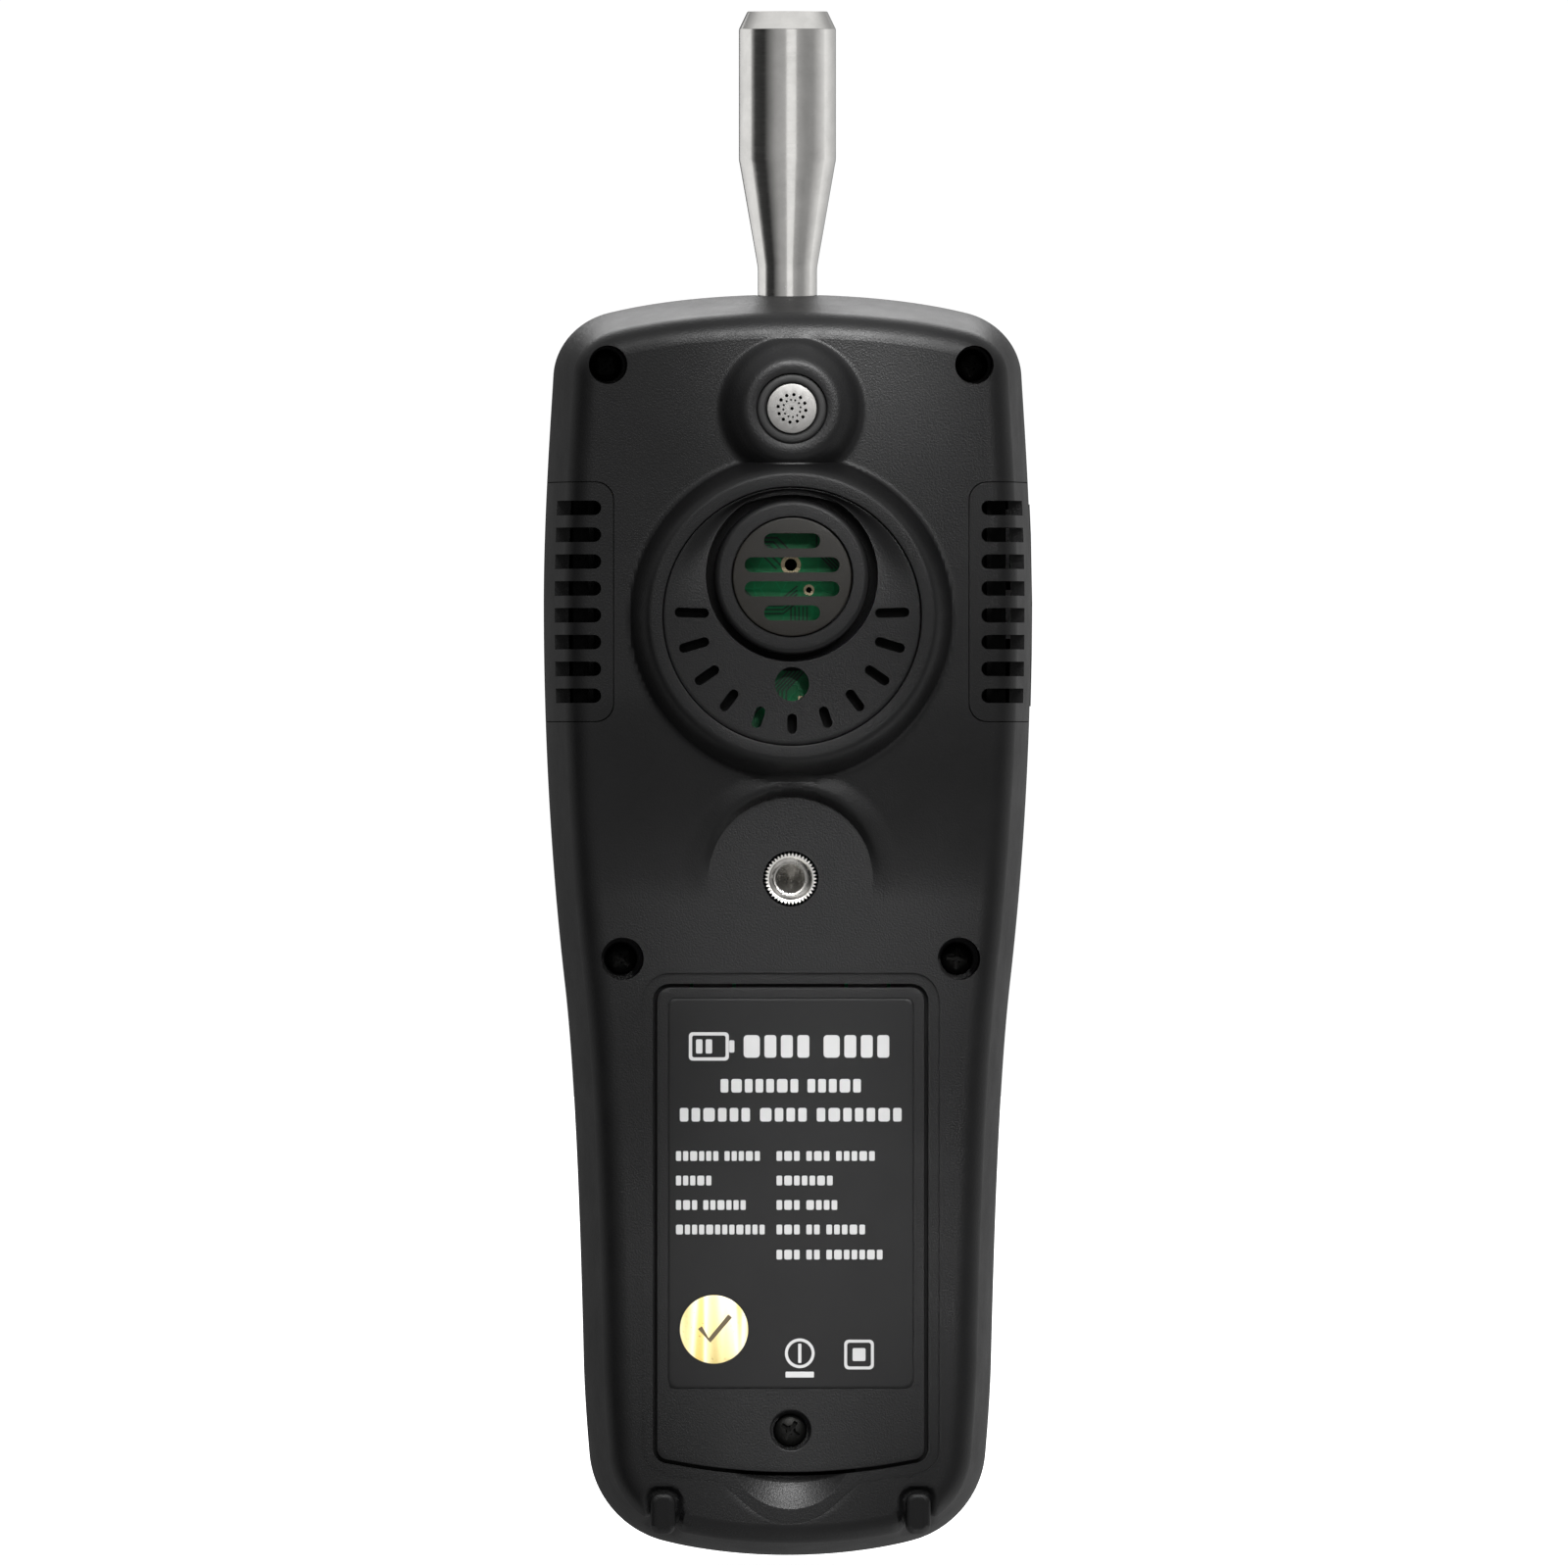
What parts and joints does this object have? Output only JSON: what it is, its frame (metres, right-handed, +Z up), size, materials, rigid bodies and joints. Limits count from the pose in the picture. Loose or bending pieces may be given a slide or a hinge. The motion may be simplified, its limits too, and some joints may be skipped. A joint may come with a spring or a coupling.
{
  "type": "air quality monitor",
  "caption": "Handheld laser particle counter and air quality monitor: waisted black case, turned steel sampling probe, rear vents, gas sensor and battery cover.",
  "frame": {"origin": "centre of the tripod socket's mouth on the back", "axes": "+Z up along the case towards the sampling probe, +Y out of the back along the tripod socket, -Y out of the display, +X to the right when looking at the display"},
  "size_m": [0.076, 0.057, 0.24],
  "materials": {
    "case_rubberised": "soft-touch matt black moulding, fine spark texture",
    "grille_plastic": "matt black moulding",
    "cap_plastic": "matt warm dark grey moulding",
    "label_film": "satin printed film, white plain bars",
    "sticker_foil": "thin gold foil",
    "rubber_black": "soft black rubber",
    "insert_metal": "nickel-plated, knurled",
    "insert_brass": "knurled brass",
    "probe_steel": "turned and polished stainless steel",
    "fitting_steel": "turned stainless steel",
    "screw_zinc": "zinc-plated steel",
    "screw_black": "blackened steel",
    "sensor_metal": "bright stamped disc",
    "sensor_body": "stamped can",
    "circuit_board": "green solder mask with gold pads",
    "glass_window": "clear printed cover lens",
    "display_panel": "display module, off",
    "key_rubber": "moulded key caps with plain symbols",
    "silicone_grey": "grey silicone",
    "tray_plastic": "black moulding",
    "cell_steel": "nickel-plated cell cans",
    "wrap_blue": "blue heat-shrink sleeve",
    "wire": "insulated wire",
    "plug_white": "white nylon",
    "connector_metal": "stamped shells",
    "jack_plastic": "black moulding",
    "card_plastic": "black card",
    "chamber_black": "light-absorbing black",
    "laser_brass": "turned brass",
    "motor_can": "plated can",
    "filter_white": "translucent white shell",
    "tube_silicone": "translucent silicone tube"
  },
  "bodies": {
    "body": {"rear_case": "case_rubberised", "front_case": "case_rubberised", "case_screws": "screw_zinc", "tripod_insert": "insert_metal", "left_vent_grille": "grille_plastic", "right_vent_grille": "grille_plastic", "vent_plate": "grille_plastic", "vent_cap": "cap_plastic", "gas_sensor": "sensor_body", "gas_sensor_grille": "sensor_metal", "gas_sensor_gasket": "rubber_black", "cover_screw_insert": "insert_brass", "battery_tray": "tray_plastic", "battery_cells": "cell_steel", "battery_wrap": "wrap_blue", "battery_lead": "wire", "battery_plug": "plug_white", "rear_feet": "case_rubberised", "usb_socket": "connector_metal", "power_jack": "jack_plastic", "card_slot": "connector_metal", "port_board": "circuit_board", "inlet_spigot": "fitting_steel", "probe_o_rings": "rubber_black", "main_board": "circuit_board", "sensor_board": "circuit_board", "board_screws": "screw_zinc", "optical_chamber": "chamber_black", "chamber_lid": "tray_plastic", "laser_module": "laser_brass", "detector_board": "circuit_board", "pump_motor": "motor_can", "pump_head": "tray_plastic", "filter_capsule": "filter_white", "inlet_sleeve": "tube_silicone", "pump_tube": "tube_silicone", "filter_tube": "tube_silicone", "exhaust_tube": "tube_silicone", "display_window": "glass_window", "display_module": "display_panel", "display_gasket": "rubber_black", "keypad_mat": "silicone_grey", "buzzer": "jack_plastic"},
    "probe": {"sampling_probe": "probe_steel"},
    "cover": {"battery_cover": "case_rubberised", "cover_label": "label_film", "inspection_sticker": "sticker_foil"},
    "cover_screw": {"cover_screw": "screw_black"},
    "flap": {"port_flap": "rubber_black"},
    "card": {"memory_card": "card_plastic"},
    "key_left": {"key_left": "key_rubber"},
    "key_middle": {"key_middle": "key_rubber"},
    "key_right": {"key_right": "key_rubber"},
    "key_up": {"key_up": "key_rubber"},
    "key_run": {"key_run": "key_rubber"},
    "key_down": {"key_down": "key_rubber"},
    "key_power": {"key_power": "key_rubber"},
    "key_escape": {"key_escape": "key_rubber"}
  },
  "joints": [
    {"name": "probe_lift", "type": "slide", "parent": "body", "child": "probe", "axis": [0, 0, 1], "range_m": [0, 0.02]},
    {"name": "cover_swing", "type": "hinge", "parent": "body", "child": "cover", "pos_m": [0, -0.0003, -0.0167], "axis": [1, 0, 0], "range_deg": [0, 75]},
    {"name": "cover_screw_turn", "type": "hinge", "parent": "cover", "child": "cover_screw", "pos_m": [0, -0.0034, -0.08555], "axis": [0, 1, 0], "continuous": true},
    {"name": "flap_swing", "type": "hinge", "parent": "body", "child": "flap", "pos_m": [-0.0374, -0.034, 0.0425], "axis": [0, 0, 1], "range_deg": [0, 100]},
    {"name": "card_push", "type": "slide", "parent": "body", "child": "card", "axis": [1, 0, 0], "range_m": [0, 0.0008], "stiffness_N_per_m": 300},
    {"name": "key_left_press", "type": "slide", "parent": "body", "child": "key_left", "axis": [0, 1, 0], "range_m": [0, 0.0008], "stiffness_N_per_m": 600},
    {"name": "key_middle_press", "type": "slide", "parent": "body", "child": "key_middle", "axis": [0, 1, 0], "range_m": [0, 0.0008], "stiffness_N_per_m": 600},
    {"name": "key_right_press", "type": "slide", "parent": "body", "child": "key_right", "axis": [0, 1, 0], "range_m": [0, 0.0008], "stiffness_N_per_m": 600},
    {"name": "key_up_press", "type": "slide", "parent": "body", "child": "key_up", "axis": [0, 1, 0], "range_m": [0, 0.0008], "stiffness_N_per_m": 600},
    {"name": "key_run_press", "type": "slide", "parent": "body", "child": "key_run", "axis": [0, 1, 0], "range_m": [0, 0.0008], "stiffness_N_per_m": 600},
    {"name": "key_down_press", "type": "slide", "parent": "body", "child": "key_down", "axis": [0, 1, 0], "range_m": [0, 0.0008], "stiffness_N_per_m": 600},
    {"name": "key_power_press", "type": "slide", "parent": "body", "child": "key_power", "axis": [0, 1, 0], "range_m": [0, 0.0008], "stiffness_N_per_m": 600},
    {"name": "key_escape_press", "type": "slide", "parent": "body", "child": "key_escape", "axis": [0, 1, 0], "range_m": [0, 0.0008], "stiffness_N_per_m": 600}
  ]
}
